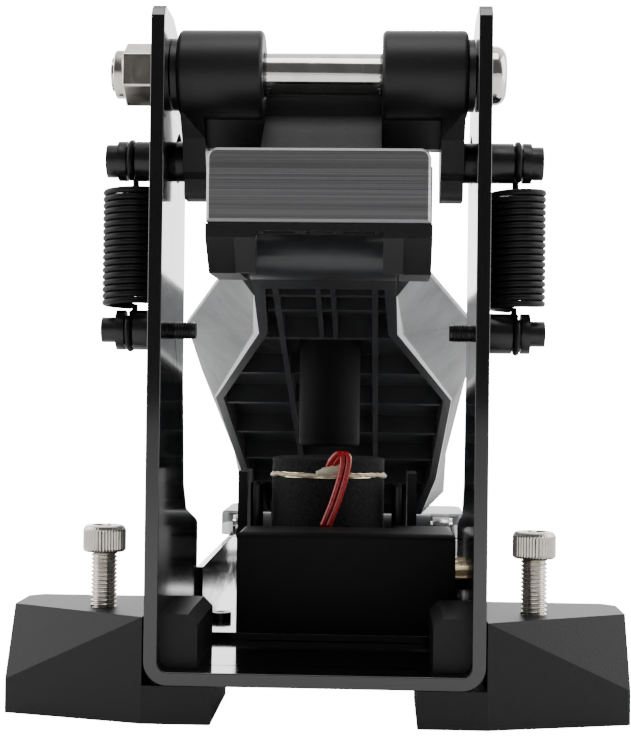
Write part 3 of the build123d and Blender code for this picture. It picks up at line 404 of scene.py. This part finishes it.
# ---- sensor pad -----------------------------------------------------------
def wobble(a, seed):
    """A small repeatable unevenness round a circle, -1 to 1."""
    return (math.sin(3 * a + seed) + math.sin(7 * a + 2.1 * seed) + math.sin(13 * a + 0.7 * seed)) / 3


def foam_disc(name, node, seed):
    """Cut foam disc with soft rims and an uneven side."""
    low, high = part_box(node)
    c = (low + high) / 2
    r = (high.x - low.x) / 2 - 0.1 * MM
    tall = high.z - low.z
    profile = [(0.0002, 0), (r - 0.9 * MM, 0), (r - 0.25 * MM, 0.25 * MM), (r, 0.9 * MM)]
    profile += [(r - 0.12 * MM * math.sin(math.pi * k / 5), 0.9 * MM + (tall - 1.8 * MM) * k / 5)
                for k in range(1, 5)]
    profile += [(r, tall - 0.9 * MM), (r - 0.25 * MM, tall - 0.25 * MM), (r - 0.9 * MM, tall),
                (0.0002, tall)]
    around = 120
    verts = []
    for k, (pr, pz) in enumerate(profile):
        for j in range(around):
            a = 2 * math.pi * j / around
            rr = pr - 0.09 * MM * (1 + wobble(a, seed + 0.3 * k)) * (pr > 0.005)
            verts.append((c.x + rr * math.cos(a), c.y + rr * math.sin(a), low.z + pz))
    piece = make_mesh(name, verts, grid_faces(len(profile), around), M["foam"])
    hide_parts(node)
    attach(piece, "frame")
    return piece


foam_disc("foam_lower", "pad_foam_lower", 1.0)
upper = foam_disc("foam_upper", "pad_foam_upper", 2.6)
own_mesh(upper)
disc_low, disc_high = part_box("sensor_disc")
pad = (disc_low + disc_high) / 2
pad_r = (disc_high.x - disc_low.x) / 2


def rim_line(name, mat, r, z, droop, thick, uneven, seed):
    """An uneven bead round the front of the disc, sagging at its two ends."""
    path = []
    radii = []
    for i in range(150):
        a = math.radians(-188 + 196 * i / 149)
        sag = max(0, abs(math.cos(a)) - 0.86) / 0.14
        path.append((pad.x + r * math.cos(a), pad.y + r * math.sin(a),
                     z - droop * sag + 0.2 * MM * wobble(2 * a, seed)))
        radii.append(thick * (1 + uneven * wobble(3 * a, seed + 1)))
    piece = tube(name, path, radii, mat, 10)
    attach(piece, "frame")
    return piece


rim_line("adhesive_bead", M["cream"], pad_r + 0.15 * MM, disc_high.z + 0.3 * MM, 0.9 * MM,
         0.62 * MM, 0.45, 0.4)
rim_line("disc_glint", M["brass"], pad_r + 0.35 * MM, disc_high.z + 1.0 * MM, 1.1 * MM,
         0.2 * MM, 0.8, 2.2)


def rounded(points, steps=12):
    """Points on a smooth curve through the given ones."""
    pts = [Vector(p) for p in points]
    pts = [pts[0] * 2 - pts[1]] + pts + [pts[-1] * 2 - pts[-2]]
    out = []
    for i in range(1, len(pts) - 2):
        for k in range(steps):
            t = k / steps
            a, b, c, d = pts[i - 1:i + 3]
            out.append(0.5 * ((2 * b) + (c - a) * t + (2 * a - 5 * b + 4 * c - d) * t * t
                              + (3 * b - a - 3 * c + d) * t ** 3))
    out.append(pts[-2])
    return out


front_y = pad.y - pad_r - 0.4 * MM
box_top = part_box("sensor_housing")[1].z
lead_line = [(1.4, 0.9, 70.6), (3.2, -0.5, 73.4), (5.0, -1.3, 75.0), (6.6, -1.8, 73.6), (5.9, -1.9, 68.0),
             (3.1, -1.9, 58.5), (-0.1, -1.8, 50.0)]
for name, node, shift in (("lead_a", "sensor_lead_a", -1.02), ("lead_b", "sensor_lead_b", 1.02)):
    line = [(pad.x + (x + shift) * MM, front_y + (y - 0.12 * shift) * MM, z * MM) for x, y, z in lead_line]
    line[-1] = (line[-1][0], line[-1][1], box_top + 0.05 * MM)
    piece = tube(name, rounded(line), 1.02 * MM, M["red"], 14)
    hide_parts(node)
    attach(piece, "frame")

bpy.ops.mesh.primitive_uv_sphere_add(segments=40, ring_count=24)
sealant = bpy.context.object
sealant.name = "sealant_blob"
for v in sealant.data.vertices:
    x, y, z = v.co
    lump = 1 + 0.10 * wobble(3 * x + 2 * z, 1.3)
    v.co = Vector((pad.x + (1.9 + 5.6 * x * lump) * MM, front_y + (0.5 + 1.5 * y * lump) * MM,
                   (69.2 + 1.9 * z * lump + 1.1 * x) * MM))
sealant.data.polygons.foreach_set("use_smooth", [True] * len(sealant.data.polygons))
sealant.data.materials.append(M["cream"])
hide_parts("lead_sealant")
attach(sealant, "frame")


# ---- stage, light, camera -------------------------------------------------
floor_mesh = bpy.data.meshes.new("floor")
corners = [(x * FLOOR_REACH, y * FLOOR_REACH, 0) for x, y in ((-1, -1), (1, -1), (1, 1), (-1, 1))]
floor_mesh.from_pydata(corners, [], [(0, 1, 2, 3)])
floor_mat, nodes, links = nodes_of("floor_white")
nodes["Principled BSDF"].inputs["Base Color"].default_value = (0.92, 0.92, 0.92, 1)
nodes["Principled BSDF"].inputs["Roughness"].default_value = 0.6
rays = nodes.new("ShaderNodeLightPath")
glow = nodes.new("ShaderNodeEmission")
lift = nodes.new("ShaderNodeMath")
lift.operation = "MULTIPLY"
lift.inputs[1].default_value = CAMERA_GLOW
both = nodes.new("ShaderNodeAddShader")
links.new(rays.outputs["Is Camera Ray"], lift.inputs[0])
links.new(lift.outputs["Value"], glow.inputs["Strength"])
links.new(nodes["Principled BSDF"].outputs["BSDF"], both.inputs[0])
links.new(glow.outputs["Emission"], both.inputs[1])
links.new(both.outputs["Shader"], nodes["Material Output"].inputs["Surface"])
floor_mesh.materials.append(floor_mat)
floor = bpy.data.objects.new("floor", floor_mesh)
bpy.context.scene.collection.objects.link(floor)
floor.location.z = -0.0004

world = bpy.data.worlds.new("studio")
world.use_nodes = True
wn = world.node_tree.nodes
wl = world.node_tree.links
wn["Background"].inputs["Color"].default_value = (1, 1, 1, 1)
way = wn.new("ShaderNodeTexCoord")
split = wn.new("ShaderNodeSeparateXYZ")
wl.new(way.outputs["Generated"], split.inputs["Vector"])
fade = wn.new("ShaderNodeMapRange")
fade.interpolation_type = "SMOOTHSTEP"
fade.inputs["From Min"].default_value = -0.75
fade.inputs["From Max"].default_value = 0.35
fade.inputs["To Min"].default_value = 0.10
fade.inputs["To Max"].default_value = 1.25
wl.new(split.outputs["Y"], fade.inputs["Value"])
far = wn.new("ShaderNodeMapRange")
far.interpolation_type = "SMOOTHSTEP"
far.inputs["From Min"].default_value = 0.6
far.inputs["From Max"].default_value = 0.9
far.inputs["To Min"].default_value = 0.0
far.inputs["To Max"].default_value = 2.6
wl.new(split.outputs["Y"], far.inputs["Value"])
back = wn.new("ShaderNodeMath")
back.operation = "ADD"
wl.new(fade.outputs["Result"], back.inputs[0])
wl.new(far.outputs["Result"], back.inputs[1])
path = wn.new("ShaderNodeLightPath")
seen = wn.new("ShaderNodeMath")
seen.operation = "MULTIPLY"
seen.inputs[1].default_value = CAMERA_GLOW
wl.new(path.outputs["Is Camera Ray"], seen.inputs[0])
total = wn.new("ShaderNodeMath")
total.operation = "ADD"
wl.new(back.outputs["Value"], total.inputs[0])
wl.new(seen.outputs["Value"], total.inputs[1])
wl.new(total.outputs["Value"], wn["Background"].inputs["Strength"])
bpy.context.scene.world = world


def lamp(name, at, aim, size, power):
    data = bpy.data.lights.new(name, "AREA")
    data.shape = "RECTANGLE"
    data.size = size[0]
    data.size_y = size[1]
    data.energy = power
    obj = bpy.data.objects.new(name, data)
    obj.location = at
    obj.rotation_euler = (Vector(aim) - Vector(at)).to_track_quat("-Z", "Y").to_euler()
    bpy.context.scene.collection.objects.link(obj)


lamp("left_panel", (-0.9, -0.15, 0.45), (0, 0, 0.1), (0.8, 1.0), 6)
lamp("right_panel", (0.9, -0.15, 0.45), (0, 0, 0.1), (0.8, 1.0), 6)
lamp("top_panel", (0.0, -0.45, 1.1), (0, -0.1, 0.1), (0.7, 0.5), 4)

camera_data = bpy.data.cameras.new("camera")
camera_data.lens = 75.4
camera_data.clip_start = 0.01
camera = bpy.data.objects.new("camera", camera_data)
camera.location = (0.0186, -0.640, 0.0966)
look = Vector((-math.tan(math.radians(2.43)), 1.0, math.tan(math.radians(0.55))))
turn = look.to_track_quat("-Z", "Y").to_matrix().to_4x4() @ Matrix.Rotation(math.radians(0.69), 4, "Z")
camera.rotation_euler = turn.to_euler()
bpy.context.scene.collection.objects.link(camera)
bpy.context.scene.camera = camera
